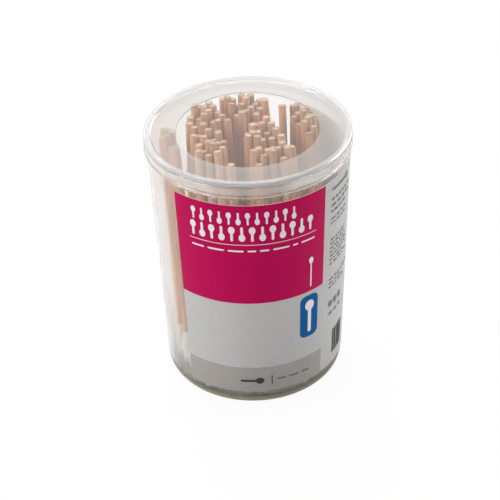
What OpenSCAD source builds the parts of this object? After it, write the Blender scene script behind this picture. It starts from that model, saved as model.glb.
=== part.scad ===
// Clear round tub with a press-on lid, holding one hundred wooden swabs that stand on their cotton tips.
// Lengths are in millimetres. The tub stands on its base at z = 0, and its label faces -Y.

/* [Swabs] */
// Length of one swab, from the bottom of its cotton to the top of its stick
swab_len = 75; // [60:1:90]
// Diameter of the wooden stick
stick_d = 2.2; // [1.8:0.1:2.5]
// Largest diameter of the cotton tip
tip_d = 4; // [3.6:0.1:4.6]
// Diameter of the cotton where it thins out on the stick
tip_neck_d = 2.8; // [2.7:0.1:3.4]
// Length of the cotton tip
tip_len = 12; // [9:0.5:16]
// Length of the cotton's shoulder, where it thins out
tip_shoulder = 5; // [3:0.5:7]
// Depth of cotton under the end of the stick
tip_cushion = 1.6; // [1:0.1:2]
// Clearance between the stick and the cotton wound on it
wrap_gap = 0.02; // [0.01:0.01:0.1]

/* [Bundle] */
// Clearance between neighbouring cotton tips on the floor
tip_gap = 0.35; // [0.2:0.05:0.5]
// Clearance under the cotton tips
floor_gap = 0.02; // [0.01:0.01:0.1]
// Width of a clump of sticks at its tops, as a share of its width on the floor
gather = 0.6; // [0.58:0.01:0.7]
// Clearance between the outermost sticks and the wall
stick_gap = 0.4; // [0.2:0.1:2]
// How far a top stands out of its place in the clump
scatter = 0.1; // [0:0.02:0.12]
// How much shorter the shortest swab is cut
cut_spread = 3; // [0:0.1:4]

/* [Tub] */
// Thickness of the wall
wall = 1; // [0.7:0.1:1.5]
// Thickness of the floor over the foot ring
floor_t = 1.2; // [0.8:0.1:2]
// Outer radius of the rounded heel
heel_r = 3.4; // [3.3:0.1:4.5]
// Clearance between the outermost cotton tips and the inside of the heel
side_gap = 0.25; // [0.2:0.05:1]
// Outer diameter of the wall at its top, below the neck
mouth_d = 56.6; // [55:0.1:62]
// How far the neck steps in, on the radius
neck_step = 0.15; // [0.05:0.05:0.4]
// Height of the neck that the lid covers
neck_h = 3.9; // [3.4:0.1:5]
// Room between an upright swab and the lid
head_room = 1.75; // [0.5:0.05:5]
// Width of the flat between the heel and the ring that the tub stands on
foot_edge = 0.55; // [0.2:0.05:3]
// Width of that ring
foot_w = 3; // [1:0.5:6]
// How far the ring stands below the heel
foot_h = 0.15; // [0.1:0.05:0.4]
// Depth of the hollow inside the ring
foot_depth = 0.4; // [0.1:0.1:0.5]

/* [Lid] */
// Clearance between the lid's skirt and the neck, on the radius
lid_fit = 0.15; // [0.1:0.05:0.3]
// Clearance between the lid's panel and the top of the neck
seat_gap = 0.1; // [0.05:0.05:0.3]
// Thickness of the skirt
skirt_t = 0.7; // [0.6:0.1:1.2]
// Depth of the skirt below the panel
skirt_h = 3.2; // [3:0.1:3.3]
// Thickness of the panel
panel_t = 0.9; // [0.7:0.1:1.5]
// Height of the rim over the panel
rim_h = 0.55; // [0.3:0.05:1]
// Radius that rounds the rim's edge
rim_round = 0.95; // [0.5:0.05:1]
// Width of the rim, from the skirt's face inwards
rim_w = 2.2; // [2:0.1:4]
// Diameter of the polished window in the panel
window_d = 39.6; // [30:0.2:46]
// How far the window lies below the panel
window_step = 0.2; // [0.1:0.05:0.4]
// Depth of the two grooves round the skirt
groove_depth = 0.2; // [0.1:0.05:0.3]
// Width of a groove
groove_w = 0.45; // [0.3:0.05:0.6]
// Height of the bead at the bottom of the skirt
bead_h = 0.85; // [0.6:0.05:1]
// How far that bead stands out
bead_out = 0.06; // [0:0.02:0.2]

/* [Label] */
// Thickness of the label's film
label_t = 0.15; // [0.1:0.05:0.3]
// Thickness of a printed field
ink_t = 0.05; // [0.05:0.05:0.1]
// Clearance between the wall and the label, and between the label and its print
glue_gap = 0.02; // [0.01:0.01:0.05]
// Height of the label's lower edge
label_low = 5.7; // [5:0.1:8]
// Distance from the label's upper edge to the lid's skirt
label_room = 2.55; // [0.5:0.05:6]
// Angle that the whole label wraps round the tub
label_turn = 192; // [120:1:300]
// Angle of its front panel
panel_turn = 91; // [60:1:110]
// Height of the white area between the coloured field and the grey band
white_h = 24; // [20:0.5:30]
// Height of the grey band at the foot of the front panel
band_h = 9.2; // [4:0.1:14]
// Width of the upright tag
tag_w = 6.4; // [5:0.1:8]
// Height of the upright tag
tag_h = 15.1; // [10:0.1:18]
// Radius of the tag's corners
tag_round = 2; // [1:0.1:2.4]
// Angle of the tag's middle from the middle of the front panel
tag_angle = 35; // [0:1:36]
// Distance from the coloured field down to the tag
tag_drop = 1.4; // [1:0.1:4]

/* [Hidden] */
// The hundred spots of the hexagonal layout: its radius in pitches, and how far its rows sit forward of the centre
LAYOUT_R = 5.16;
LAYOUT_SHIFT = 0.668;
FIRST_ROW = -5;
LAST_ROW = 6;
ROWS = LAST_ROW - FIRST_ROW + 1;
// The clumps that the bundle falls into. The first two numbers say how far the tops of a clump lean to the right
// and to the back, as shares of the room that the gathered bundle has. The third says how readily it takes swabs.
CLUMPS = [
    [-0.31, 0.22, -1.05],
    [0.12, 0.44, 0.08],
    [0, 0.7, 0.92],
    [-0.49, 0.63, 0.58],
    [-0.37, 0.9, 0.74],
    [-0.13, 1.04, 0.6],
    [0.29, 1, -0.33],
    [0.45, 0.93, -0.6],
    [-0.9, 0.55, -1]
];
SEEDS_PER_ROW = 100;
STICK_SIDES = 24;
TIP_SIDES = 32;
FRONT = -90;
EDGE_ROUND = 0.3;
ARC_STEPS = 6;
CUT = 1;
$fn = 96;

pitch = tip_d + tip_gap;
heel_in = heel_r - wall;
bundle_r = LAYOUT_R * pitch;
base_r = bundle_r + max(heel_in, tip_d / 2) + side_gap + wall;
heel_z = foot_h + heel_r;
foot_r = base_r - heel_r - foot_edge - foot_h;
mouth_r = mouth_d / 2;
neck_r = mouth_r - neck_step;
tub_h = floor_t + swab_len + head_room - seat_gap;
neck_z = tub_h - neck_h;
taper = (mouth_r - base_r) / (neck_z - heel_z);
skirt_in = neck_r + lid_fit;
skirt_out = skirt_in + skirt_t;
panel_z = tub_h + seat_gap;
panel_top = panel_z + panel_t;
rim_top = panel_top + rim_h;
skirt_z = panel_z - skirt_h;
label_top = skirt_z - label_room;
field_low = label_low + band_h + white_h;
label_start = FRONT - panel_turn / 2;
stick_len = swab_len - tip_cushion;
top_r = neck_r - wall - stick_d / 2 - stick_gap;
room = top_r - gather * bundle_r;

// Outer radius of the tapered wall at height z
function wall_r(z) = base_r + (z - heel_z) * taper;

// Points of an arc about [x, y] with radius r, from angle a to angle b
function arc(x, y, r, a, b, steps = ARC_STEPS) =
    [for (i = [0:steps]) let (t = a + (b - a) * i / steps) [x + r * cos(t), y + r * sin(t)]];

// Height of a row over the middle of the floor's layout, seen from above, in pitches
function row_y(n) = (FIRST_ROW + n - 1) * sqrt(3) / 2 - LAYOUT_SHIFT;

// Spots of the hexagonal layout that lie in one row, from left to right
function row_spots(n) =
    [for (i = [-ROWS:ROWS])
        let (p = [i + abs((FIRST_ROW + n - 1) % 2) / 2, row_y(n)])
            if (norm(p) < LAYOUT_R) p * pitch];

// The clump that a swab standing at p joins: the one with the strongest pull towards its own side
function clump_of(p) =
    let (pulls = [for (c = CLUMPS) (p[0] * c[0] + p[1] * c[1]) / pitch + c[2]])
    CLUMPS[search(max(pulls), pulls)[0]];

// Place of the top of that swab. Tops keep the order that the swabs have on the floor, so that none cross.
function top_of(p, stir) =
    let (
        c = clump_of(p),
        t = gather * p + room * [c[0], c[1]] + scatter * [stir[0], stir[1]]
    )
    t * min(1, top_r / norm(t));

// Stands its children, drawn along +Z, on the floor at b, leaning so that a swab's top is over t
module lean(b, t) {
    pivot = tip_d / 2;
    angle = asin(norm(t - b) / (swab_len - pivot));
    translate([b[0], b[1], floor_t + floor_gap + pivot])
        rotate([0, 0, atan2(t[1] - b[1], t[0] - b[0])])
            rotate([0, angle, 0])
                translate([0, 0, -pivot])
                    children();
}

// Stands its children at every place of row n, and tells them how much shorter that swab is
module row(n) {
    spots = row_spots(n);
    for (i = [0:len(spots) - 1]) {
        stir = rands(-1, 1, 3, n * SEEDS_PER_ROW + i);
        $shorter = (stir[2] + 1) / 2 * cut_spread;
        lean(spots[i], top_of(spots[i], stir)) children();
    }
}

module stick() {
    color("BurlyWood")
        translate([0, 0, tip_cushion])
            cylinder(h = stick_len - $shorter, d = stick_d, $fn = STICK_SIDES);
}

module cotton_tip() {
    belly_h = tip_len - tip_shoulder - tip_d / 2;
    color("Ivory")
        difference() {
            union() {
                translate([0, 0, tip_d / 2])
                    sphere(d = tip_d, $fn = TIP_SIDES);
                translate([0, 0, tip_d / 2])
                    cylinder(h = belly_h, d = tip_d, $fn = TIP_SIDES);
                translate([0, 0, tip_d / 2 + belly_h])
                    cylinder(h = tip_shoulder, d1 = tip_d, d2 = tip_neck_d, $fn = TIP_SIDES);
            }
            translate([0, 0, tip_cushion - wrap_gap])
                cylinder(h = tip_len, d = stick_d + 2 * wrap_gap, $fn = TIP_SIDES);
        }
}

// One moulded shell: tapered wall, rounded heel, foot ring and a stepped neck
module tub() {
    color("WhiteSmoke", 0.3)
        rotate_extrude()
            polygon(concat(
                [[0, foot_depth], [foot_r - foot_w, foot_depth], [foot_r - foot_w, 0]],
                [[foot_r, 0], [foot_r + foot_h, foot_h]],
                arc(base_r - heel_r, heel_z, heel_r, -90, 0),
                [[wall_r(neck_z), neck_z], [neck_r, neck_z + neck_step]],
                arc(neck_r - EDGE_ROUND, tub_h - EDGE_ROUND, EDGE_ROUND, 0, 90, 3),
                arc(neck_r - wall + EDGE_ROUND, tub_h - EDGE_ROUND, EDGE_ROUND, 90, 180, 3),
                [[neck_r - wall, neck_z]],
                arc(base_r - heel_r, floor_t + heel_in, heel_in, 0, -90),
                [[0, floor_t]]
            ));
}

// Outline of the skirt's outer face, from its foot up: bead, groove, band, groove
function skirt_face() =
    let (
        bead = skirt_out + bead_out,
        floor_of = skirt_out - groove_depth,
        low = skirt_z + bead_h,
        high = panel_top - groove_w
    )
    concat(
        arc(bead - EDGE_ROUND, skirt_z + EDGE_ROUND, EDGE_ROUND, -90, 0, 3),
        [[bead, low - groove_w / 2], [floor_of, low], [floor_of, low + groove_w / 2], [skirt_out, low + groove_w]],
        [[skirt_out, high - groove_w], [floor_of, high - groove_w / 2], [floor_of, high], [skirt_out, high + groove_w / 2]]
    );

// One moulded cap: flat panel with a polished window, rounded rim and ribbed skirt
module lid() {
    rim_in = skirt_out - rim_w;
    color("WhiteSmoke", 0.3)
        rotate_extrude()
            polygon(concat(
                [[0, panel_z], [skirt_in, panel_z], [skirt_in, skirt_z + EDGE_ROUND]],
                [[skirt_in + EDGE_ROUND, skirt_z]],
                skirt_face(),
                arc(skirt_out - rim_round, rim_top - rim_round, rim_round, 0, 90),
                [[rim_in + rim_h, rim_top], [rim_in, panel_top]],
                [[window_d / 2 + window_step, panel_top], [window_d / 2, panel_top - window_step]],
                [[0, panel_top - window_step]]
            ));
}

// A film on the tapered wall: from height low to high, from angle a over turn degrees
module film(low, high, a, turn, lift, thick) {
    rotate([0, 0, a])
        rotate_extrude(angle = turn)
            polygon([
                [wall_r(low) + lift, low],
                [wall_r(low) + lift + thick, low],
                [wall_r(high) + lift + thick, high],
                [wall_r(high) + lift, high]
            ]);
}

module print_film(low, high, a, turn) {
    film(low, high, a, turn, 2 * glue_gap + label_t, ink_t);
}

module rounded(w, h, r) {
    square([w - 2 * r, h], center = true);
    square([w, h - 2 * r], center = true);
    for (x = [-1, 1], y = [-1, 1])
        translate([x * (w / 2 - r), y * (h / 2 - r)])
            circle(r = r, $fn = TIP_SIDES);
}

module label() {
    color("White")
        film(label_low, label_top, label_start, label_turn, glue_gap, label_t);
}

module label_field() {
    color("MediumVioletRed")
        print_film(field_low, label_top, label_start, panel_turn);
}

module label_band() {
    color("DarkGray")
        print_film(label_low, label_low + band_h, label_start, panel_turn);
}

module label_tag() {
    middle = field_low - tag_drop - tag_h / 2;
    spread = asin(tag_w / base_r);
    color("SteelBlue")
        intersection() {
            print_film(middle - tag_h, middle + tag_h, FRONT + tag_angle - spread, 2 * spread);
            rotate([0, 0, tag_angle])
                translate([0, 0, middle])
                    rotate([90, 0, 0])
                        linear_extrude(max(base_r, mouth_r) + CUT)
                            rounded(tag_w, tag_h, tag_round);
        }
}

tub();
lid();
label();
label_field();
label_band();
label_tag();
for (n = [1:ROWS]) {
    row(n) stick();
    row(n) cotton_tip();
}
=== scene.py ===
import math
from collections import namedtuple

import bpy
import numpy as np
from bpy.props import FloatProperty, FloatVectorProperty, IntProperty, PointerProperty
from mathutils import Matrix, Vector


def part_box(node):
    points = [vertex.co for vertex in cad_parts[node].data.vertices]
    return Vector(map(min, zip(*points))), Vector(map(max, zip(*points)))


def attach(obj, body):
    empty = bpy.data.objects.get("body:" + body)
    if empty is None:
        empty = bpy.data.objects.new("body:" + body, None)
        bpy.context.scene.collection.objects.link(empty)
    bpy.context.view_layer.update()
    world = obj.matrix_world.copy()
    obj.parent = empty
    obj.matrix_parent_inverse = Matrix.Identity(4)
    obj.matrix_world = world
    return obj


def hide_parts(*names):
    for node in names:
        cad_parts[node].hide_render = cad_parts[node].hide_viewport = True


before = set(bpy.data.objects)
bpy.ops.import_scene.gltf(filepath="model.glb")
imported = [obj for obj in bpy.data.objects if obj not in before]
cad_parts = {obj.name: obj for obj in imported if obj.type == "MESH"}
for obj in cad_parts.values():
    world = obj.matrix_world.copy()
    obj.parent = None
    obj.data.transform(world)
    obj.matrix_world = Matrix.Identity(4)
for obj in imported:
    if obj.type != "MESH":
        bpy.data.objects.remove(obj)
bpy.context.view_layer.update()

LID_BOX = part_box("lid")
TUB_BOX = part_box("tub")
LABEL_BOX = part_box("label")
MM = 0.001

bl_info = {
    "name": "Cotton Swab Tub",
    "version": (1, 0, 0),
    "blender": (4, 5, 0),
    "location": "View3D > Sidebar > Swab Tub",
    "description": "Dresses a clear tub of cotton swabs: shell, lid, label, sticks, cotton and stage",
    "category": "Object",
}


def number(name, description, value, **form):
    """A plain number property."""
    return FloatProperty(name=name, description=description, default=value, **form)


def length(name, description, millimetres):
    """A length property whose default is given in millimetres."""
    return number(name, description, millimetres * MM, unit="LENGTH", precision=5)


def turn(name, description, degrees):
    """An angle property whose default is given in degrees."""
    return number(name, description, math.radians(degrees), subtype="ANGLE")


def colour(name, description, value):
    """A linear colour property."""
    return FloatVectorProperty(
        name=name, description=description, default=value, subtype="COLOR", size=3, min=0, max=1
    )


def share(name, description, value):
    """A factor property from 0 to 1."""
    return number(name, description, value, subtype="FACTOR", min=0, max=1)


class TubSizes(bpy.types.PropertyGroup):
    """Sizes of the moulded tub."""

    base_radius: length("Base radius", "Outer radius of the wall where the heel ends", 26.096)
    heel_radius: length("Heel radius", "Outer radius of the rounded heel", 3.4)
    foot_radius: length("Foot radius", "Outer radius of the ring that the tub stands on", 22)
    foot_width: length("Foot width", "Width of that ring", 3)
    foot_height: length("Foot height", "How far the ring stands below the heel", 0.15)
    foot_hollow: length("Foot hollow", "Depth of the hollow inside the ring", 0.4)
    floor: length("Floor", "Height of the floor inside the tub", 1.2)
    wall: length("Wall", "Thickness of the wall", 1)
    mouth_radius: length("Mouth radius", "Outer radius of the wall below the neck", 28.3)
    neck_step: length("Neck step", "How far the neck steps in", 0.15)
    neck_height: length("Neck height", "Height of the neck that the lid covers", 3.9)
    lip: length("Lip", "Radius that rounds the lip", 0.3)
    segments: IntProperty(
        name="Segments", description="Faces round the tub, the lid and their rims", default=720, min=48
    )


class LidSizes(bpy.types.PropertyGroup):
    """Sizes of the moulded lid."""

    fit: length("Fit", "Clearance between the skirt and the neck", 0.15)
    skirt: length("Skirt", "Thickness of the skirt", 0.7)
    skirt_round: length("Skirt rounding", "Radius that rounds the skirt's foot", 0.3)
    panel: length("Panel", "Thickness of the panel", 0.9)
    rim_height: length("Rim height", "Height of the rim over the panel", 0.55)
    rim_round: length("Rim rounding", "Radius that rounds the rim's edge", 0.95)
    rim_width: length("Rim width", "Width of the rim, from the skirt's face inwards", 2.2)
    window_radius: length("Window radius", "Radius of the polished window", 19.8)
    window_step: length("Window step", "How far the window lies below the panel", 0.2)
    window_slope: length("Window slope", "Width of the slope round the window", 0.08)
    groove_depth: length("Groove depth", "Depth of the grooves round the skirt", 0.2)
    groove_width: length("Groove width", "Width of a groove", 0.45)
    bead_height: length("Bead height", "Height of the bead at the foot of the skirt", 0.85)
    bead_out: length("Bead stand", "How far that bead stands out", 0.06)


class LabelSizes(bpy.types.PropertyGroup):
    """Sizes of the label and of its print."""

    film: length("Film", "Thickness of the label's film", 0.15)
    ink: length("Ink", "Thickness of a printed field", 0.05)
    gap: length("Gap", "Clearance under the film, and under its print", 0.02)
    start: turn("Start", "Direction of the label's left edge, from +X", -135.5)
    wrap: turn("Wrap", "Angle that the whole label wraps", 192)
    panel: turn("Panel", "Angle of its front panel", 91)
    field_low: length("Field low", "Lower edge of the coloured field", 38.9)
    band_top: length("Band top", "Upper edge of the grey band", 14.9)
    tag_width: length("Tag width", "Width of the upright tag", 6.4)
    tag_height: length("Tag height", "Height of the upright tag", 15.1)
    tag_round: length("Tag rounding", "Radius of the tag's corners", 2)
    tag_turn: turn("Tag turn", "Direction of the tag's middle, from the front", 35)
    tag_drop: length("Tag drop", "Distance from the coloured field down to the tag", 1.4)


class SwabSizes(bpy.types.PropertyGroup):
    """Sizes of the sticks and their cotton."""

    tip_length: length("Tip length", "Length of the cotton on a stick", 12)
    tip_radius: length("Tip radius", "Largest radius of the cotton", 2.0)
    tip_neck: length("Tip neck", "Radius of the cotton where it thins out", 1.3)
    tip_cushion: length("Tip cushion", "Depth of cotton under the end of the stick", 1.6)
    shoulder: length("Shoulder", "Length over which the cotton thins out", 5)
    fluff: length("Fluff", "Unevenness of the wound cotton", 0.17)
    bow: length("Bow", "How far a stick bends between its ends", 0.2)
    ragged: length("Ragged", "Unevenness of a stick's cut end", 0.2)
    seed: IntProperty(name="Seed", description="Start of the random draws", default=7)


class Finishes(bpy.types.PropertyGroup):
    """Colours and glosses."""

    plastic: colour("Plastic", "Tint of the clear plastic", (0.955, 0.955, 0.95))
    # The thick base is painted dark olive: painted shade of the tub's shaded bottom seen through it, shown
    # mostly through the haze that base_milk leaves.
    base_shade_tint: colour("Base tint", "Tint of the thick base of the tub", (0.40, 0.35, 0.25))
    base_milk: share("Base milk", "Share of light that passes the haze of the thick base", 0.25)
    base_haze: share("Base haze", "Roughness of the thick base of the tub", 0.3)
    plastic_gloss: share("Plastic roughness", "Roughness of the polished plastic", 0.012)
    rim_gloss: share("Rim roughness", "Roughness of the lid's rim and of its skirt's face", 0.12)
    wall_haze: share("Wall haze", "Roughness of the tub's drawn wall", 0.04)
    wall_milk: share("Wall milk", "Share of light that passes the haze of the wall", 0.955)
    window_milk: share("Window milk", "Share of light that passes the haze of the lid's window", 0.972)
    frost: share("Frost", "Roughness of the lid's milky ring", 0.06)
    milk_tint: colour("Milk tint", "Colour of the milky ring", (0.70, 0.685, 0.67))
    milk: share("Milk", "Share of light that passes the haze of the milky ring", 0.66)
    rim_milk: share("Rim milk", "Share of light that passes the haze of the lid's rounded rim", 0.3)
    rim_tint: colour("Rim tint", "Colour of the lid's rounded rim", (0.9, 0.895, 0.89))
    skirt_milk: share("Skirt milk", "Share of light that passes the haze of the skirt's face", 0.45)
    unbent: share("Unbent", "Share of light that passes the wall without bending", 0.15)
    # The film's front is painted grey as shade on the tub's front; its glued side keeps the film's white.
    film: colour("Film", "White film of the label", (0.54, 0.53, 0.527))
    film_back: colour("Film back", "Glued side of the label", (0.93, 0.92, 0.91))
    film_glow: share("Film glow", "Share of the lamps' light that the film lets through", 0.4)
    print_roughness: share("Print roughness", "Roughness of the film and its print", 0.36)
    print_gloss: share("Print gloss", "Strength of the gloss on the film and its print", 0.06)
    field: colour("Field", "Magenta print", (0.50, 0.0, 0.085))
    band: colour("Band", "Grey print", (0.40, 0.375, 0.35))
    tag: colour("Tag", "Blue print", (0.0, 0.105, 0.32))
    white_ink: colour("White ink", "White marks on the print", (0.86, 0.82, 0.84))
    dark_ink: colour("Dark ink", "Dark marks on the print", (0.06, 0.06, 0.062))
    grey_ink: colour("Grey ink", "Small grey marks on the print", (0.2, 0.2, 0.205))
    wood_light: colour("Light wood", "Palest wood of the sticks", (0.92, 0.57, 0.325))
    wood_dark: colour("Dark wood", "Darkest wood of the sticks", (0.585, 0.275, 0.113))
    cut_wood: colour("Cut wood", "Fresh cut ends of the sticks", (0.63, 0.435, 0.295))
    # Cream: partly the cotton's own colour and partly painted warm light bounced off the sticks.
    cotton: colour("Cotton", "Wound cotton", (0.88, 0.85, 0.79))


class StageSettings(bpy.types.PropertyGroup):
    """Camera, light and floor."""

    distance: length("Distance", "From the camera to the point it looks at", 433.4)
    elevation: turn("Elevation", "Height of the camera over the horizon", 35.88)
    roll: turn("Roll", "Roll of the camera", -1.96)
    aim: FloatVectorProperty(
        name="Aim", description="Point that the camera looks at", default=(-0.000536, 0, 0.03743),
        subtype="TRANSLATION", unit="LENGTH",
    )
    lens: number("Lens", "Focal length in millimetres", 106.83)
    sky: number("Sky", "Strength of the even light all round", 0.31)
    top_lamp: number("Top lamp", "Power of the overhead softbox", 5.2)
    left_lamp: number("Left lamp", "Power of the softbox at the left", 3.7)
    right_lamp: number("Right lamp", "Power of the softbox at the right", 1.8)
    floor: colour("Floor", "Colour of the floor", (0.86, 0.86, 0.86))
    floor_white: share("Floor white", "How far the floor shows as plain white", 0.95)
    mirrored: share("Mirrored white", "How far glossy surfaces mirror that white", 0.45)


GROUPS = {
    "swab_tub": TubSizes,
    "swab_lid": LidSizes,
    "swab_label": LabelSizes,
    "swab_sticks": SwabSizes,
    "swab_finish": Finishes,
    "swab_stage": StageSettings,
}

ARC_STEPS = 18
EDGE_STEPS = 5
HOLD = 0.06 * MM
SHARP = math.radians(40)
UV_SCALE = 10
LABEL_ACROSS = 160
LABEL_UP = 24
STICK_SIDES = 20
STICK_RINGS = 12
TIP_SIDES = 28
TIP_RINGS = 26
ROWS_A_PIECE = 4
PART_NAMES = ("front", "middle", "back")
FRONT = -math.pi / 2
WHITE = (1, 1, 1, 1)

# Radius and drop of the last three rings of a stick, as shares of its radius and of its raggedness
CUT_RADII = np.array([1.0, 0.955, 0.5])
CUT_DROPS = np.array([1.3, 0.55, 0.75])

# Waves of the wound cotton: height, number round the tip, and how far they twist along it
SWELLS = ((0.45, 2, 1.5), (0.35, 3, -2.2), (0.3, 5, 3.1), (0.25, 7, -4.0), (0.3, 2, 7.0))

# Marks on the label, in millimetres: top face over the wall, thickness, and half width of a sharp end
MARK_TOP = 0.29
TAG_MARK_TOP = 0.32
MARK_THICK = 0.03
SHARP_END = 0.004

SwabRow = namedtuple("SwabRow", "left count step height tall stem tip")
SWAB_ROWS = (
    SwabRow(left=-16.2, count=12, step=2.55, height=68.0, tall=4.1, stem=0.27, tip=0.7),
    SwabRow(left=-16.6, count=13, step=2.8, height=62.9, tall=4.9, stem=0.36, tip=0.9),
)

# Half thickness of the lines of dashes on the side panel, their heights, and where they start
SIDE_LINES = (
    (0.34, (65.9, 63.9, 61.9)),
    (0.22, (59.4, 57.9)),
    (0.2, (52.2, 50.8, 49.4, 48.0, 46.6, 45.2, 43.8, 38.2, 36.8, 35.4)),
)
SIDE_LEFT = 25.4

# Height of the marks on the grey band
BAND_LINE = 10.0

Lamp = namedtuple("Lamp", "name power place aim_height size")
LAMPS = (
    Lamp("top_softbox", "top_lamp", place=(-0.12, 0.4, 0.72), aim_height=0.05, size=0.45),
    Lamp("left_softbox", "left_lamp", place=(-0.66, -0.25, 0.55), aim_height=0.05, size=0.5),
    Lamp("right_softbox", "right_lamp", place=(0.6, 0.08, 0.35), aim_height=0.04, size=0.4),
)


# Meshes

def new_piece(name, points, faces, materials, face_material=None, uv=None, tone=None):
    """Adds a smooth mesh object at the origin. uv and tone are given for each point."""
    mesh = bpy.data.meshes.new(name)
    mesh.from_pydata(points.tolist(), [], faces)
    mesh.polygons.foreach_set("use_smooth", np.ones(len(mesh.polygons), bool))
    for material in materials:
        mesh.materials.append(material)
    if face_material is not None:
        mesh.polygons.foreach_set("material_index", np.asarray(face_material, np.int32))
    corners = np.empty(len(mesh.loops), np.int32)
    mesh.loops.foreach_get("vertex_index", corners)
    if uv is not None:
        layer = mesh.uv_layers.new(name="UVMap")
        layer.data.foreach_set("uv", uv[corners].astype(np.float32).ravel())
    if tone is not None:
        attribute = mesh.attributes.new("tone", "FLOAT_COLOR", "POINT")
        attribute.data.foreach_set("color", tone.astype(np.float32).ravel())
    mesh.set_sharp_from_angle(angle=SHARP)
    mesh.validate()
    mesh.update()
    piece = bpy.data.objects.new(name, mesh)
    bpy.context.scene.collection.objects.link(piece)
    return piece


def arc(centre_r, centre_z, radius, start, end, steps=ARC_STEPS):
    """Points of an arc in the (radius, height) plane: centre plus radius times cosine and sine."""
    t = np.radians(np.linspace(start, end, steps + 1))
    return np.stack([centre_r + radius * np.cos(t), centre_z + radius * np.sin(t)], axis=1)


def held(profile):
    """The profile with a point close to each end of every long stretch, which keeps it flat when shaded."""
    step = np.diff(profile, axis=0)
    size = np.linalg.norm(step, axis=1)
    points = [profile[:1]]
    for a, b, d in zip(profile[:-1], step, size):
        if d > 6 * HOLD:
            points.append(np.array([a + b * HOLD / d, a + b * (1 - HOLD / d)]))
        points.append((a + b)[None])
    return np.concatenate(points)


def ringed_faces(rings, sides):
    """Faces from one pole over rings of points to the other. The poles' points come last."""
    k = np.arange(sides)
    nxt = (k + 1) % sides
    i = np.arange(rings - 1)[:, None] * sides
    quads = np.stack([i + k, i + nxt, i + sides + nxt, i + sides + k], axis=2).reshape(-1, 4)
    low, top = rings * sides, (rings - 1) * sides
    first = np.stack([np.full(sides, low), nxt, k], axis=1)
    last = np.stack([top + k, top + nxt, np.full(sides, low + 1)], axis=1)
    return [*first.tolist(), *quads.tolist(), *last.tolist()]


def revolved(name, profile, segments, materials, zone):
    """Turns a profile that starts and ends on the axis round it: (r cos t, r sin t, z).
    zone tells the material number of a stretch from the radius and height of its middle."""
    profile = held(profile)
    t = np.arange(segments) * 2 * np.pi / segments
    ring = profile[1:-1]
    r, z = ring[:, :1], ring[:, 1:]
    body = np.stack([r * np.cos(t), r * np.sin(t), z + 0 * t], axis=2).reshape(-1, 3)
    poles = [[0, 0, profile[0, 1]], [0, 0, profile[-1, 1]]]
    middle = (profile[:-1] + profile[1:]) / 2
    index = np.repeat([zone(*m) for m in middle], segments)
    faces = ringed_faces(len(ring), segments)
    return new_piece(name, np.concatenate([body, poles]), faces, materials, index)


def slab(front, back):
    """A closed thin body between two grids of points. front faces outwards, and strips close its edges."""
    across, up = front.shape[:2]
    grid = np.arange(across * up).reshape(across, up)
    under = grid + across * up
    quad = np.stack([grid[:-1, :-1], grid[1:, :-1], grid[1:, 1:], grid[:-1, 1:]], axis=2).reshape(-1, 4)
    rim = np.concatenate([grid[:-1, 0], grid[-1, :-1], grid[:0:-1, -1], grid[0, :0:-1]])
    low = np.concatenate([under[:-1, 0], under[-1, :-1], under[:0:-1, -1], under[0, :0:-1]])
    strip = np.stack([rim, low, np.roll(low, -1), np.roll(rim, -1)], axis=1)
    faces = np.concatenate([quad, quad[:, ::-1] + across * up, strip])
    return np.concatenate([front.reshape(-1, 3), back.reshape(-1, 3)]), faces


def joined(parts):
    """Several (points, faces) pairs as one pair."""
    offset = np.cumsum([0] + [len(p) for p, _ in parts[:-1]])
    return (
        np.concatenate([p for p, _ in parts]),
        np.concatenate([f + o for (_, f), o in zip(parts, offset)]),
    )


# Where things lie on the tapered wall

def wall_radius(z):
    """Outer radius of the wall at height z: a straight taper from the heel to the neck."""
    s = bpy.context.scene.swab_tub
    heel = s.foot_height + s.heel_radius
    neck = TUB_BOX[1].z - s.neck_height
    return s.base_radius + (z - heel) * (s.mouth_radius - s.base_radius) / (neck - heel)


def on_wall(angle, z, lift):
    """The point at a direction and height, lifted off the wall."""
    r = wall_radius(z) + lift
    return np.stack([r * np.cos(angle), r * np.sin(angle), z + 0 * r], axis=-1)


def wrapped(start, wrap, low, high, lift, thick):
    """A film on the wall: direction runs across the grid and height runs up it."""
    across = max(2, int(LABEL_ACROSS * wrap / math.pi))
    a, z = np.meshgrid(
        np.linspace(start, start + wrap, across + 1), np.linspace(low, high, LABEL_UP + 1), indexing="ij"
    )
    return slab(on_wall(a, z, lift + thick), on_wall(a, z, lift))


def flat_uv(points):
    """Arc length from the front and height, both over a tenth of a metre."""
    angle = np.arctan2(points[:, 0], -points[:, 1])
    return np.stack([angle * bpy.context.scene.swab_tub.mouth_radius, points[:, 2]], axis=1) * UV_SCALE


def mark(x, z, long, width, upright=False, along=14, top=MARK_TOP, thick=MARK_THICK):
    """A flat mark on the label, in millimetres from the front's middle line and from the floor.
    width gives its half width at each share of its length, so the grid runs along it and across it."""
    s = np.linspace(0, 1, along + 1)
    side = np.array([-1.0, 0.0, 1.0])
    run = (s[:, None] - 0.5) * long + 0 * side
    off = width(s)[:, None] * side
    px, pz = (x - off, z + run) if upright else (x + run, z + off)
    angle = FRONT + px * MM / bpy.context.scene.swab_tub.mouth_radius
    return slab(on_wall(angle, pz * MM, top * MM), on_wall(angle, pz * MM, (top - thick) * MM))


def stroke(x, z, long, half, corner=None, **form):
    """A bar with rounded ends: its full half width, less a quarter circle at each end."""
    corner = min(half if corner is None else corner, long / 2)

    def width(s):
        inside = np.maximum(0, corner - np.minimum(s, 1 - s) * long)
        return np.maximum(half - corner + np.sqrt(np.maximum(corner**2 - inside**2, 0)), SHARP_END)

    return mark(x, z, long, width, **form)


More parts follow.
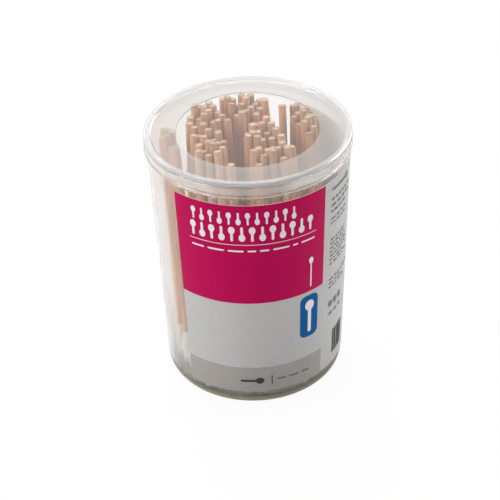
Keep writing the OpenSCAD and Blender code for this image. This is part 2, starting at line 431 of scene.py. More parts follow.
def drawn_swab(x, z, long, stem, tip, tip_share, flip=False, **form):
    """A drawn swab: a thin stem with a round end, and an oval of cotton over tip_share of its length."""

    def width(s):
        s = 1 - s if flip else s
        middle = 1 - tip_share / 2
        oval = tip * np.sqrt(np.maximum(0, 1 - ((s - middle) / (tip_share / 2)) ** 2))
        butt = stem * np.sqrt(np.maximum(0, 1 - np.maximum(0, 1 - s * long / stem) ** 2))
        return np.maximum(np.maximum(oval, np.where(s < middle, butt, 0)), SHARP_END)

    return mark(x, z, long, width, **form)


def dashes(draw, left, right, z, half, longs, gap, **form):
    """Dashes in a line, each as long as is drawn between two limits, from left until they pass right."""
    marks = []
    while left < right:
        dash = float(draw.uniform(*longs))
        marks.append(stroke(left + dash / 2, z, dash, half, **form))
        left += dash + gap
    return marks


# Shared shader effects

def group_of(name, inputs, outputs):
    """An empty shader node group with its sockets. Each is (name, type, default)."""
    tree = bpy.data.node_groups.new(name, "ShaderNodeTree")
    for side, sockets in (("INPUT", inputs), ("OUTPUT", outputs)):
        for label, kind, value in sockets:
            socket = tree.interface.new_socket(label, in_out=side, socket_type="NodeSocket" + kind)
            if side == "INPUT" and value is not None:
                socket.default_value = value
    return tree, tree.nodes.new("NodeGroupInput"), tree.nodes.new("NodeGroupOutput")


def feed(tree, node, inputs):
    """Gives each input of a node a value, or links it to an output."""
    for key, source in inputs.items():
        if isinstance(source, bpy.types.NodeSocket):
            tree.links.new(source, node.inputs[key])
        else:
            node.inputs[key].default_value = source


def add(tree, kind, inputs=None, **settings):
    """A new node with its settings and inputs."""
    node = tree.nodes.new(kind)
    for key, value in settings.items():
        setattr(node, key, value)
    feed(tree, node, inputs or {})
    return node


def placed(tree, group, inputs):
    """A group as a node."""
    return add(tree, "ShaderNodeGroup", inputs, node_tree=group)


def maths(tree, operation, *terms):
    """The result of a Math node. Its terms are values or outputs, as they are in the next functions."""
    return add(tree, "ShaderNodeMath", dict(enumerate(terms)), operation=operation).outputs[0]


def ranged(tree, *terms):
    """A value moved from a range (low, high) into another (low, high), and held inside it."""
    return add(tree, "ShaderNodeMapRange", dict(enumerate(terms))).outputs[0]


def mixed(tree, factor, one, other):
    """One value and another, mixed."""
    return add(tree, "ShaderNodeMix", {0: factor, 2: one, 3: other}, data_type="FLOAT").outputs[0]


def mixed_colour(tree, factor, one, other):
    """One colour and another, mixed."""
    return add(tree, "ShaderNodeMix", {0: factor, 6: one, 7: other}, data_type="RGBA").outputs[2]


def mixed_shader(tree, factor, one, other):
    """One shader and another, mixed."""
    return add(tree, "ShaderNodeMixShader", {0: factor, 1: one, 2: other}).outputs[0]


def shaded(tree, tint, value):
    """A colour times a value that changes over the surface."""
    return add(tree, "ShaderNodeVectorMath", {0: tuple(tint), 1: value}, operation="MULTIPLY").outputs[0]


def see_through(tree, tint):
    """A surface that lets light pass unbent, dimmed by its tint."""
    return add(tree, "ShaderNodeBsdfTransparent", {"Color": (*tint, 1)}).outputs[0]


def streaks_group():
    """Long fine streaks: noise on coordinates that are squeezed along one direction, with its own seed."""
    if "Streaks" in bpy.data.node_groups:
        return bpy.data.node_groups["Streaks"]
    tree, inner, outer = group_of(
        "Streaks",
        [("Vector", "Vector", None), ("Across", "Float", 60.0), ("Along", "Float", 3.0),
         ("Seed", "Float", 0.0), ("Detail", "Float", 3.0)],
        [("Value", "Float", None)],
    )
    given = inner.outputs
    scale = add(tree, "ShaderNodeCombineXYZ", {0: given["Across"], 1: given["Along"], 2: 1.0})
    pulled = add(
        tree, "ShaderNodeVectorMath", {0: given["Vector"], 1: scale.outputs[0]}, operation="MULTIPLY"
    )
    noise = add(
        tree, "ShaderNodeTexNoise",
        {"Vector": pulled.outputs[0], "W": given["Seed"], "Detail": given["Detail"], "Scale": 1.0,
         "Roughness": 0.6},
        noise_dimensions="4D",
    )
    feed(tree, outer, {"Value": noise.outputs["Fac"]})
    return tree


def mottle_group():
    """A value that wanders between two limits over the surface, for uneven gloss, and its height."""
    if "Mottle" in bpy.data.node_groups:
        return bpy.data.node_groups["Mottle"]
    tree, inner, outer = group_of(
        "Mottle",
        [("Vector", "Vector", None), ("Scale", "Float", 80.0),
         ("Low", "Float", 0.0), ("High", "Float", 1.0)],
        [("Value", "Float", None), ("Height", "Float", None)],
    )
    given = inner.outputs
    noise = add(
        tree, "ShaderNodeTexNoise",
        {"Vector": given["Vector"], "Scale": given["Scale"], "Detail": 4.0, "Roughness": 0.55},
    ).outputs["Fac"]
    value = ranged(tree, noise, 0.3, 0.7, given["Low"], given["High"])
    feed(tree, outer, {"Value": value, "Height": noise})
    return tree


def streaks(tree, vector, seed, across, along, detail):
    """Streaks with their density across and along the vector."""
    return placed(tree, streaks_group(), {
        "Vector": vector, "Seed": seed, "Across": across, "Along": along, "Detail": detail,
    }).outputs["Value"]


def mottle(tree, scale, low, high):
    """A mottle on the piece's own coordinates: its value and its height."""
    where = add(tree, "ShaderNodeTexCoord").outputs["Object"]
    inputs = {"Vector": where, "Scale": scale, "Low": low, "High": high}
    return placed(tree, mottle_group(), inputs).outputs


def own_marks(tree):
    """A piece's UV map, and the three channels of its tone attribute."""
    uv = add(tree, "ShaderNodeUVMap", uv_map="UVMap").outputs[0]
    own = add(tree, "ShaderNodeAttribute", attribute_name="tone").outputs["Color"]
    return uv, *add(tree, "ShaderNodeSeparateColor", {0: own}).outputs


# Materials

def blank(name):
    """A new material with its tree, its Principled shader and its output."""
    material = bpy.data.materials.new(name)
    material.use_nodes = True
    tree = material.node_tree
    return material, tree, tree.nodes["Principled BSDF"], tree.nodes["Material Output"]


def bumped(tree, height, strength, depth):
    """The surface's normal, bent by a height that is depth millimetres deep."""
    inputs = {"Height": height, "Strength": strength, "Distance": depth * MM}
    return add(tree, "ShaderNodeBump", inputs).outputs[0]


def clear_polystyrene(
    name, roughness, through=1.0, soft=0.0, tint=None, shade=0.97, lamps=None, ior=1.49, dent=0.0
):
    """Clear plastic. through is the share that passes its haze, and soft the share that passes unbent.
    The lamps' own rays, and light scattered by other things, pass straight through, dimmed by shade.
    lamps is the share of those rays that passes, where it isn't the tint's. dent makes it uneven."""
    material, tree, shader, output = blank(name)
    gloss = mottle(tree, 60.0, roughness * 0.8, roughness * 1.3)
    feed(tree, shader, {
        "Base Color": (*(tint or bpy.context.scene.swab_finish.plastic), 1), "IOR": ior,
        "Transmission Weight": through, "Roughness": gloss["Value"],
    })
    if dent:
        feed(tree, shader, {"Normal": bumped(tree, gloss["Height"], dent, 0.2)})
    dimmed = [shade * c for c in (tint or (1, 1, 1))]
    passed = see_through(tree, [lamps] * 3 if lamps else dimmed)
    path = add(tree, "ShaderNodeLightPath").outputs
    body = mixed_shader(tree, soft, shader.outputs[0], see_through(tree, dimmed))
    for ray in ("Is Shadow Ray", "Is Diffuse Ray"):
        body = mixed_shader(tree, path[ray], body, passed)
    feed(tree, output, {"Surface": body})
    return material


def satin_print(name, tint, glow=0.0):
    """Ink or film with an uneven satin gloss and a little mottling of its colour.
    glow is the share of the lamps' rays that a thin film lets through."""
    finish = bpy.context.scene.swab_finish
    material, tree, shader, output = blank(name)
    gloss = mottle(tree, 140.0, finish.print_roughness - 0.06, finish.print_roughness + 0.08)
    fine = mottle(tree, 900.0, 0.96, 1.03)
    feed(tree, shader, {
        "Base Color": shaded(tree, tint, fine["Value"]), "Roughness": gloss["Value"],
        "Specular IOR Level": finish.print_gloss, "Normal": bumped(tree, fine["Height"], 0.05, 0.05),
    })
    if glow:
        lit = add(tree, "ShaderNodeLightPath").outputs["Is Shadow Ray"]
        body = mixed_shader(tree, lit, shader.outputs[0], see_through(tree, [glow] * 3))
        feed(tree, output, {"Surface": body})
    return material


def birch():
    """Raw birch: streaks along the stick, a tone of its own for each stick, and paler cut ends, with
    painted shade round the edge of each cut.
    """
    finish = bpy.context.scene.swab_finish
    broad_share, contrast, own_tone, dark_edge = 0.45, 2.35, 0.6, 0.42
    material, tree, shader, _ = blank("raw_birch")
    uv, tone, end, edge = own_marks(tree)
    seed = maths(tree, "MULTIPLY", tone, 40.0)
    grain = streaks(tree, uv, seed, across=330.0, along=11.0, detail=5.0)
    broad = streaks(tree, uv, seed, across=60.0, along=3.0, detail=2.0)
    figure = maths(tree, "MULTIPLY", mixed(tree, broad_share, grain, broad), contrast)
    toned = maths(tree, "MULTIPLY_ADD", tone, own_tone, -own_tone)
    darker = ranged(tree, maths(tree, "ADD", toned, figure), 0.35, 1.15, 0.0, 1.0)
    wood = mixed_colour(tree, darker, (*finish.wood_light, 1), (*finish.wood_dark, 1))
    paler = ranged(tree, tone, 0.0, 1.0, 1.15, 0.8)
    # Painted shade: the ring at the edge of each cut is darkened by dark_edge.
    painted_edge_shade = maths(tree, "MULTIPLY_ADD", edge, -dark_edge, 1.0)
    cut = shaded(tree, finish.cut_wood, maths(tree, "MULTIPLY", paler, painted_edge_shade))
    feed(tree, shader, {
        "Base Color": mixed_colour(tree, end, wood, cut), "Specular IOR Level": 0.25,
        "Roughness": mottle(tree, 300.0, 0.6, 0.8)["Value"], "Normal": bumped(tree, grain, 0.7, 0.12),
    })
    return material


def wound_cotton():
    """Cotton: soft fibres wound on a slant, and a pale sheen."""
    slant, wisp_share = math.radians(24), 0.55
    material, tree, shader, _ = blank("wound_cotton")
    uv, tone, _, _ = own_marks(tree)
    wound = add(tree, "ShaderNodeMapping", {"Vector": uv, "Rotation": (0, 0, slant)}).outputs[0]
    fibre = streaks(tree, wound, tone, across=45.0, along=420.0, detail=4.0)
    wisps = streaks(tree, wound, tone, across=22.0, along=110.0, detail=3.0)
    strands = mixed(tree, wisp_share, fibre, wisps)
    shade = ranged(tree, strands, 0.34, 0.62, 0.74, 1.08)
    tinted = shaded(tree, bpy.context.scene.swab_finish.cotton, shade)
    feed(tree, shader, {
        "Base Color": tinted, "Specular IOR Level": 0.1, "Sheen Weight": 0.35, "Roughness": 0.95,
        "Normal": bumped(tree, strands, 1.0, 0.5),
    })
    return material


# Swabs

def swab_axes(row):
    """Base point, top point and radius of each stick in a row, read from its solids.
    Points that share a triangle belong to one stick, whose axis is its longest direction."""
    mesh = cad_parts["sticks_row_%d" % row].data
    points = np.empty(len(mesh.vertices) * 3, np.float32)
    mesh.vertices.foreach_get("co", points)
    points = points.reshape(-1, 3).astype(float)
    mesh.calc_loop_triangles()
    corners = np.empty(len(mesh.loop_triangles) * 3, np.int32)
    mesh.loop_triangles.foreach_get("vertices", corners)
    places, same = np.unique(np.round(points / MM, 3), axis=0, return_inverse=True)
    corners = same.ravel()[corners].reshape(-1, 3)
    group = np.arange(len(places))
    while True:
        low = group[corners].min(axis=1)
        before = group.copy()
        for k in range(3):
            np.minimum.at(group, corners[:, k], low)
        group = group[group]
        if (group == before).all():
            break
    sticks = []
    for g in np.unique(group):
        p = places[group == g] * MM
        middle = (p.min(axis=0) + p.max(axis=0)) / 2
        axis = np.linalg.svd(p - p.mean(axis=0), full_matrices=False)[2][0]
        axis *= np.sign(axis[2])
        along = (p - middle) @ axis
        side = np.linalg.norm(p - middle - np.outer(along, axis), axis=1)
        sticks.append((middle + axis * along.min(), middle + axis * along.max(), side.max()))
    return sorted(sticks, key=lambda s: s[0][0])


def across_axis(axis):
    """Two directions at right angles to an axis and to each other."""
    side = np.cross(axis, (0.0, 1.0, 0.0))
    side /= np.linalg.norm(side)
    return side, np.cross(axis, side)


def tube(base, axis, heights, radii, shift, tilt=0):
    """Points of a tube: base + height along the axis + radius round it, plus a sideways shift of each ring.
    tilt adds a height to each point. The poles come last."""
    side, other = across_axis(axis)
    t = np.arange(radii.shape[1]) * 2 * np.pi / radii.shape[1]
    out = np.cos(t)[:, None] * side + np.sin(t)[:, None] * other
    rise = (heights[:, None] + tilt)[..., None] * axis
    rings = base + rise + radii[..., None] * out + shift[:, None]
    low, high = base + heights[0] * axis + shift[0], rings[-1].mean(axis=0)
    return np.concatenate([rings.reshape(-1, 3), [low, high]])


def lengthwise_uv(t, heights, radius, draw):
    """The way round a tube, there and back, and the height on it, from a start that is drawn."""
    u = np.append(np.tile(np.abs(t / np.pi - 1) * np.pi * radius, len(heights)), [0, 0])
    v = np.append(np.repeat(heights, len(t)), heights[[0, -1]])
    return np.stack([u, v], axis=1) * UV_SCALE + draw.uniform(0, 5, 2)


def stick_points(base, top, radius, draw):
    """A stick: its radius times 1 plus two faint waves round it, bowed by a half wave along it, with a
    ragged and slanting cut at its top. tone holds its own tone, 1 on the cut, and 1 on the cut's edge,
    where painted shade darkens the cut."""
    sizes = bpy.context.scene.swab_sticks
    long = np.linalg.norm(top - base)
    axis = (top - base) / long
    side, other = across_axis(axis)
    share_up = np.append(np.linspace(0, 1, STICK_RINGS), [1, 1])
    rings = len(share_up)
    t = np.arange(STICK_SIDES) * 2 * np.pi / STICK_SIDES
    phase = draw.uniform(0, 2 * np.pi, 4)
    out_of_round = 0.018 * np.sin(2 * t + phase[0]) + 0.012 * np.sin(3 * t + phase[1])
    ring = np.ones(rings)
    ring[-3:] = CUT_RADII
    radii = radius * ring[:, None] * (1 + out_of_round)
    way = np.cos(phase[2]) * side + np.sin(phase[2]) * other
    shift = (np.sin(np.pi * share_up) * draw.uniform(0.2, 1) * sizes.bow)[:, None] * way
    cut = draw.uniform(-1, 1, STICK_SIDES) * sizes.ragged
    cut += np.cos(t + phase[3]) * draw.uniform(0, 1.4) * sizes.ragged
    heights = share_up * long
    heights[-3:] -= CUT_DROPS * sizes.ragged
    tilt = np.zeros((rings, STICK_SIDES))
    tilt[-3] = 0.5 * np.minimum(cut, 0)
    tilt[-2] = 0.5 * cut
    tilt[-1] = draw.uniform(-0.6, 0.6, STICK_SIDES) * sizes.ragged
    points = tube(base, axis, heights, radii, shift, tilt)
    uv = lengthwise_uv(t, heights, radius, draw)
    level = np.arange(rings)
    end = np.append(np.repeat(level >= rings - 2, STICK_SIDES), [False, True])
    # edge marks the ring at the cut's edge that gets painted shade.
    edge = np.append(np.repeat(level == rings - 2, STICK_SIDES), [False, False])
    own = np.full(len(points), draw.uniform())
    return points, uv, np.stack([own, end, edge, np.ones(len(points))], axis=1)


def tip_shape(s):
    """Radius of the cotton at a height: half a ball, a belly, and a shoulder that thins out."""
    sizes = bpy.context.scene.swab_sticks
    r, neck = sizes.tip_radius, sizes.tip_neck
    ball = np.sqrt(np.maximum(0, r**2 - np.maximum(0, r - s) ** 2))
    up = np.clip((s - (sizes.tip_length - sizes.shoulder)) / sizes.shoulder, 0, 1)
    ease = up * up * (3 - 2 * up)
    return ball + (neck - r) * (0.55 * ease + 0.45 * up)


def tip_points(base, top, draw):
    """Cotton wound on a stick: its outline turned round the stick, plus waves that twist along it.
    The heights follow 1 minus a cosine, so the rings lie closest at the round end."""
    sizes = bpy.context.scene.swab_sticks
    axis = (top - base) / np.linalg.norm(top - base)
    foot = base - axis * sizes.tip_cushion
    s = (1 - np.cos(np.linspace(0.12, 1, TIP_RINGS) * np.pi / 2)) ** 0.9 * sizes.tip_length
    t = np.arange(TIP_SIDES) * 2 * np.pi / TIP_SIDES
    phase = draw.uniform(0, 2 * np.pi, 6)
    turns = 2 * np.pi * s[:, None] / sizes.tip_length
    swell = sum(
        height * np.sin(count * t + twist * turns + start)
        for (height, count, twist), start in zip(SWELLS, phase)
    )
    outline = tip_shape(s)[:, None]
    fade = np.minimum(1, outline / sizes.tip_radius)
    radii = outline + sizes.fluff * (swell - 0.6) * fade
    points = tube(foot, axis, s, radii, np.zeros((TIP_RINGS, 3)))
    points[-2] = foot + axis * s[0] * 0.4
    uv = lengthwise_uv(t, s, sizes.tip_radius, draw)
    return points, uv, np.ones((len(points), 4)) * draw.uniform()


def gathered(name, made, faces_of_one, material):
    """One piece from many copies of a form that have the same faces."""
    points = np.concatenate([m[0] for m in made])
    count = len(made[0][0])
    faces = [[v + i * count for v in f] for i in range(len(made)) for f in faces_of_one]
    uv = np.concatenate([m[1] for m in made])
    tone = np.concatenate([m[2] for m in made])
    return new_piece(name, points, faces, [material], uv=uv, tone=tone)


# Operators

class SWABTUB_OT_tub(bpy.types.Operator):
    """Turns the tub's shell: foot ring, rounded heel, tapered wall, neck and floor"""

    bl_idname = "swabtub.tub"
    bl_label = "Tub"

    def execute(self, context):
        s, finish = context.scene.swab_tub, context.scene.swab_finish
        top = TUB_BOX[1].z
        neck_z = top - s.neck_height
        neck = s.mouth_radius - s.neck_step
        heel_in = s.heel_radius - s.wall
        heel_z = s.foot_height + s.heel_radius
        centre = s.base_radius - s.heel_radius
        foot_in = s.foot_radius - s.foot_width
        profile = np.concatenate([
            [[0, s.foot_hollow], [foot_in, s.foot_hollow], [foot_in, 0], [s.foot_radius, 0]],
            [[s.foot_radius + s.foot_height, s.foot_height]],
            arc(centre, heel_z, s.heel_radius, -90, 0),
            [[s.mouth_radius, neck_z], [neck, neck_z + s.neck_step]],
            arc(neck - s.lip, top - s.lip, s.lip, 0, 90, EDGE_STEPS),
            arc(neck - s.wall + s.lip, top - s.lip, s.lip, 90, 180, EDGE_STEPS),
            [[neck - s.wall, neck_z]],
            arc(centre, s.floor + heel_in, heel_in, 0, -90),
            [[0, s.floor]],
        ])
        plastic = clear_polystyrene("clear_tub", finish.wall_haze, finish.wall_milk, finish.unbent)
        # Dark olive tint and haze on the heel, foot and floor: painted shade of the tub's shaded bottom.
        base = clear_polystyrene(
            "thick_base", finish.base_haze, finish.base_milk, tint=tuple(finish.base_shade_tint), shade=0.2,
            ior=1.2,
        )

        def zone(r, z):
            """0 for the wall, 1 for the heel, the foot ring and the floor."""
            return int(z < heel_z)

        piece = revolved("moulded_tub", profile, s.segments, [plastic, base], zone)
        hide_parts("tub")
        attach(piece, "tub")
        return {"FINISHED"}


class SWABTUB_OT_lid(bpy.types.Operator):
    """Turns the lid: panel with a polished window in a milky ring, rounded rim and ribbed skirt"""

    bl_idname = "swabtub.lid"
    bl_label = "Lid"

    def execute(self, context):
        s, tub, finish = context.scene.swab_lid, context.scene.swab_tub, context.scene.swab_finish
        inner = tub.mouth_radius - tub.neck_step + s.fit
        outer = inner + s.skirt
        low, high = LID_BOX[0].z, LID_BOX[1].z
        panel_top = high - s.rim_height
        under = panel_top - s.panel
        bead = outer + s.bead_out
        edge = s.skirt_round
        floor_of = outer - s.groove_depth
        first = low + s.bead_height
        second = panel_top - s.groove_width
        rim_in = outer - s.rim_width
        half = s.groove_width / 2
        # The rim's arc starts at the height where the upper groove ends
        over = max(0, second + half - (high - s.rim_round))
        flank = math.degrees(math.asin(over / s.rim_round))
        profile = np.concatenate([
            [[0, under], [inner, under], [inner, low + edge], [inner + edge, low]],
            arc(bead - edge, low + edge, edge, -90, 0, EDGE_STEPS),
            [[bead, first - half], [floor_of, first], [floor_of, first + half], [outer, first + 2 * half]],
            [[outer, second - 2 * half], [floor_of, second - half], [floor_of, second]],
            arc(outer - s.rim_round, high - s.rim_round, s.rim_round, flank, 90),
            [[rim_in + s.rim_height, high], [rim_in, panel_top]],
            [[s.window_radius + s.window_slope, panel_top], [s.window_radius, panel_top - s.window_step]],
            [[0, panel_top - s.window_step]],
        ])
        clear = clear_polystyrene("clear_lid", finish.plastic_gloss, finish.window_milk)
        groove = clear_polystyrene("lid_grooves", finish.rim_gloss, soft=0.4)
        milky = clear_polystyrene(
            "milky_ring", finish.frost, finish.milk, tint=tuple(finish.milk_tint), shade=0.85, lamps=0.92,
            dent=0.05,
        )
        rim = clear_polystyrene(
            "lid_rim", finish.rim_gloss, finish.rim_milk, soft=0.45, tint=tuple(finish.rim_tint)
        )
        skirt = clear_polystyrene("lid_skirt", finish.rim_gloss, finish.skirt_milk, soft=0.5, ior=1.4)

        def zone(r, z):
            """0 for the window and the panel's underside, 1 for the milky ring, 2 for the rim and the
            window's edge, 3 for the skirt's face and bead, and 4 for its inside and its grooves."""
            below = (panel_top - z) / s.window_step
            if r > rim_in and z > high - s.rim_round or r > s.window_radius and 0.1 < below < 0.9:
                return 2
            if r > inner - s.rim_round:
                return 3 if r > outer - s.groove_depth / 4 and z < under else 4
            return int(s.window_radius < r and below < 0.1)

        piece = revolved("press_on_lid", profile, tub.segments, [clear, milky, rim, skirt, groove], zone)
        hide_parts("lid")
        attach(piece, "lid")
        return {"FINISHED"}


class SWABTUB_OT_label(bpy.types.Operator):
    """Wraps the label round the wall, with its fields of colour"""

    bl_idname = "swabtub.label"
    bl_label = "Label"

    def execute(self, context):
        s, finish = context.scene.swab_label, context.scene.swab_finish
        low, high = LABEL_BOX[0].z, LABEL_BOX[1].z
        ink = 2 * s.gap + s.film
        centre = s.field_low - s.tag_drop - s.tag_height / 2
        tag = stroke(
            s.tag_turn * context.scene.swab_tub.mouth_radius / MM, centre / MM, s.tag_height / MM,
            s.tag_width / 2 / MM, s.tag_round / MM, upright=True, along=40,
            top=(ink + s.ink) / MM, thick=s.ink / MM,
        )
        made = (
            # The film's front colour is grey: painted shade of the tub's shaded front.
            ("label_film", "label", "label_film", finish.film,
             wrapped(s.start, s.wrap, low, high, s.gap, s.film)),
            ("magenta_field", "label_field", "magenta_print", finish.field,
             wrapped(s.start, s.panel, s.field_low, high, ink, s.ink)),
            ("grey_band", "label_band", "grey_print", finish.band,
             wrapped(s.start, s.panel, low, s.band_top, ink, s.ink)),
            ("blue_tag", "label_tag", "blue_print", finish.tag, tag),
        )
        for name, node, slot, tint, (points, faces) in made:
            whole = node == "label"
            materials = [satin_print(name, tint, glow=finish.film_glow if whole else 0.0)]
            glued = np.zeros(len(faces), int)
            if whole:
                materials.append(satin_print("glued_side", finish.film_back, glow=1.0))
                glued[(faces >= len(points) // 2).all(axis=1)] = 1
            piece = new_piece(name, points, faces.tolist(), materials, glued, uv=flat_uv(points))
            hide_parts(node)
            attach(piece, "tub")
        return {"FINISHED"}


class SWABTUB_OT_marks(bpy.types.Operator):
    """Prints the label's plain marks: drawn swabs, rules, dashes and bars"""

    bl_idname = "swabtub.marks"
    bl_label = "Label marks"

    def execute(self, context):
        finish = context.scene.swab_finish
        draw = np.random.default_rng(context.scene.swab_sticks.seed)
        white, grey, dark = self.white_marks(draw), self.grey_marks(draw), self.dark_marks(draw)
        for name, slot, tint, marks in (
            ("white_marks", "label_film", finish.white_ink, white),
            ("dark_marks", "grey_print", finish.dark_ink, dark),
            ("grey_marks", "grey_print", finish.grey_ink, grey),
        ):
            points, faces = joined(marks)
            piece = new_piece(name, points, faces.tolist(), [satin_print(name, tint)], uv=flat_uv(points))
            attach(piece, "tub")
        return {"FINISHED"}

    def white_marks(self, draw):
        """Two rows of swabs, every other one upside down, a rule, dashes, and swabs over and on the tag."""
        marks = [
            drawn_swab(
                row.left + i * row.step, row.height, row.tall, row.stem, row.tip, tip_share=0.5,
                flip=i % 2 == 1, upright=True, along=24,
            )
            for row in SWAB_ROWS for i in range(row.count)
        ]
        marks.append(stroke(x=0.6, z=59.3, long=37.5, half=0.09, along=60))
        marks += dashes(draw, left=-17.5, right=16.5, z=57.2, half=0.27, longs=(1.6, 5.4), gap=0.9)
        marks.append(drawn_swab(
            x=17.6, z=45.6, long=10.5, stem=0.22, tip=0.75, tip_share=0.22, upright=True, along=26
        ))
        marks.append(drawn_swab(
            x=17.3, z=29.95, long=11.6, stem=0.6, tip=1.6, tip_share=0.32, upright=True, along=36,
            top=TAG_MARK_TOP,
        ))
        return marks

    def grey_marks(self, draw):
        """Dashes on the grey band, and on the side panel a swab, lines of dashes and small signs."""
        band_dashes = ((8.0, 3.0), (12.0, 3.4), (16.1, 2.6))
        marks = [stroke(x, BAND_LINE, long, half=0.34) for x, long in band_dashes]
        marks.append(drawn_swab(x=30.6, z=69.2, long=10.2, stem=0.36, tip=0.95, tip_share=0.26, along=28))
        for half, z in ((half, z) for half, heights in SIDE_LINES for z in heights):
            right = SIDE_LEFT + float(draw.uniform(6.5, 12.0))
            marks += dashes(draw, SIDE_LEFT, right, z, half, longs=(0.8, 2.6), gap=0.5, along=8)
        for x in (26.6, 29.4, 32.2):
            marks.append(stroke(x, z=29.2, long=2.0, half=0.95, corner=0.5, along=10))
            marks.append(drawn_swab(x, z=25.6, long=2.0, stem=0.2, tip=0.6, tip_share=0.4, along=12))
        return marks

    def dark_marks(self, draw):
        """A swab and a rule on the grey band, and upright bars on the side panel."""
        marks = [
            drawn_swab(x=-1.2, z=BAND_LINE, long=7.4, stem=0.4, tip=1.15, tip_share=0.36, along=28),
            stroke(x=4.9, z=BAND_LINE, long=3.6, half=0.16, upright=True),
        ]
        x, right = 29.0, 36.0
        while x < right:
            half = float(draw.choice([0.12, 0.2, 0.32]))
            marks.append(stroke(x, z=13.8, long=9.0, half=half, corner=0.01, upright=True, along=10))
            x += 2 * half + float(draw.choice([0.25, 0.4, 0.6]))
        return marks


class SWABTUB_OT_swabs(bpy.types.Operator):
    """Rebuilds the sticks and their cotton on the axes of the solids, row by row"""

    bl_idname = "swabtub.swabs"
    bl_label = "Swabs"

    def execute(self, context):
        wood, cotton = birch(), wound_cotton()
        draw = np.random.default_rng(context.scene.swab_sticks.seed)
        stick_faces = ringed_faces(STICK_RINGS + 2, STICK_SIDES)
        tip_faces = ringed_faces(TIP_RINGS, TIP_SIDES)
        for part, name in enumerate(PART_NAMES):
            rows = range(part * ROWS_A_PIECE + 1, (part + 1) * ROWS_A_PIECE + 1)
            axes = [a for row in rows for a in swab_axes(row)]
            sticks = gathered(
                name + "_sticks", [stick_points(*a, draw) for a in axes], stick_faces, wood
            )
            tips = gathered(
                name + "_cotton", [tip_points(a[0], a[1], draw) for a in axes], tip_faces, cotton
            )
            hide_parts(*["sticks_row_%d" % row for row in rows])
            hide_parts(*["cotton_tips_row_%d" % row for row in rows])
            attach(sticks, "tub")
            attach(tips, "tub")
        return {"FINISHED"}


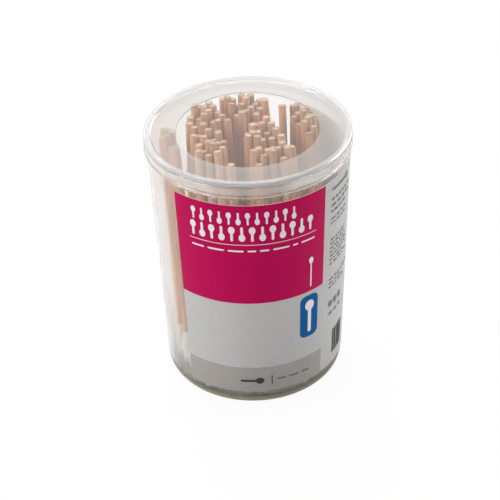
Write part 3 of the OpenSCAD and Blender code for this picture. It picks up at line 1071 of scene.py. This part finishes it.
class SWABTUB_OT_stage(bpy.types.Operator):
    """Sets the camera, the lamps, the even light all round and the pale floor"""

    bl_idname = "swabtub.stage"
    bl_label = "Stage"

    def execute(self, context):
        s = context.scene.swab_stage
        self.camera(context, s)
        for lamp in LAMPS:
            self.softbox(context, lamp, getattr(s, lamp.power))
        self.world(context, s)
        self.floor(s)
        context.scene.view_settings.view_transform = "Standard"
        return {"FINISHED"}

    def camera(self, context, s):
        """Looks at the aim from the front and above, then rolls about its own line of sight."""
        ahead = Vector((0, math.cos(s.elevation), -math.sin(s.elevation)))
        right = Vector((1, 0, 0))
        up = right.cross(ahead)
        c, d = math.cos(s.roll), math.sin(s.roll)
        across, above = right * c + up * d, up * c - right * d
        data = bpy.data.cameras.new("camera")
        data.lens, data.sensor_width = s.lens, 36
        data.clip_start, data.clip_end = 0.01, 20
        camera = bpy.data.objects.new("camera", data)
        facing = Matrix((across, above, -ahead)).transposed().to_4x4()
        camera.matrix_world = Matrix.Translation(Vector(s.aim) - ahead * s.distance) @ facing
        context.scene.collection.objects.link(camera)
        context.scene.camera = camera

    def softbox(self, context, form, power):
        """A soft square of light that faces a point on the tub's axis."""
        data = bpy.data.lights.new(form.name, "AREA")
        data.shape = "RECTANGLE"
        data.size = data.size_y = form.size
        data.energy = power
        lamp = bpy.data.objects.new(form.name, data)
        lamp.location = form.place
        ahead = Vector((0, 0, form.aim_height)) - Vector(form.place)
        lamp.rotation_euler = ahead.to_track_quat("-Z", "Y").to_euler()
        context.scene.collection.objects.link(lamp)

    def seen_directly(self, tree, mirrored, bent):
        """1 for a ray from the camera, mirrored for one that it sends on by gloss, and bent for one that it
        sends on through glass, until it has met a matt surface."""
        path = add(tree, "ShaderNodeLightPath").outputs
        gloss = maths(tree, "MULTIPLY", path["Is Glossy Ray"], mirrored)
        glass = maths(tree, "MULTIPLY", path["Is Transmission Ray"], bent)
        seen = maths(tree, "MAXIMUM", maths(tree, "MAXIMUM", path["Is Camera Ray"], gloss), glass)
        return maths(tree, "MULTIPLY", seen, maths(tree, "LESS_THAN", path["Diffuse Depth"], 0.5))

    def world(self, context, s):
        """Even light from all round, shown as plain white."""
        world = bpy.data.worlds.new("studio")
        context.scene.world = world
        world.use_nodes = True
        tree = world.node_tree
        even = tree.nodes["Background"]
        feed(tree, even, {"Color": WHITE, "Strength": s.sky})
        white = add(tree, "ShaderNodeBackground", {"Color": WHITE, "Strength": 1.0})
        mix = mixed_shader(tree, self.seen_directly(tree, s.mirrored, 1), even.outputs[0], white.outputs[0])
        feed(tree, tree.nodes["World Output"], {"Surface": mix})

    def floor(self, s):
        """A wide pale floor that shows as nearly white and keeps the shadow."""
        half = 3.0
        points = np.array([[-half, -half, 0], [half, -half, 0], [half, half, 0], [-half, half, 0]])
        material, tree, shader, output = blank("pale_floor")
        feed(tree, shader, {"Base Color": (*s.floor, 1), "Roughness": 0.8, "Specular IOR Level": 0.1})
        white = add(tree, "ShaderNodeEmission", {"Color": WHITE, "Strength": 1.0})
        much = maths(tree, "MULTIPLY", self.seen_directly(tree, s.mirrored, 0), s.floor_white)
        mix = mixed_shader(tree, much, shader.outputs[0], white.outputs[0])
        feed(tree, output, {"Surface": mix})
        new_piece("floor", points, [[0, 1, 2, 3]], [material])


OPERATORS = (
    SWABTUB_OT_stage, SWABTUB_OT_tub, SWABTUB_OT_lid, SWABTUB_OT_label, SWABTUB_OT_marks, SWABTUB_OT_swabs,
)


class SWABTUB_PT_sidebar(bpy.types.Panel):
    """Lists the tub's pieces and their sizes"""

    bl_label = "Swab Tub"
    bl_idname = "SWABTUB_PT_sidebar"
    bl_space_type = "VIEW_3D"
    bl_region_type = "UI"
    bl_category = "Swab Tub"

    def draw(self, context):
        for operator in OPERATORS:
            self.layout.operator(operator.bl_idname)
        for key, group in GROUPS.items():
            box = self.layout.box()
            box.label(text=group.__doc__)
            for name in group.__annotations__:
                box.prop(getattr(context.scene, key), name)


CLASSES = (*GROUPS.values(), *OPERATORS, SWABTUB_PT_sidebar)


def register():
    for cls in CLASSES:
        bpy.utils.register_class(cls)
    for key, group in GROUPS.items():
        setattr(bpy.types.Scene, key, PointerProperty(type=group))


def unregister():
    for key in GROUPS:
        delattr(bpy.types.Scene, key)
    for cls in reversed(CLASSES):
        bpy.utils.unregister_class(cls)


def main():
    register()
    for operator in OPERATORS:
        area, name = operator.bl_idname.split(".")
        getattr(getattr(bpy.ops, area), name)()


if __name__ == "__main__":
    main()
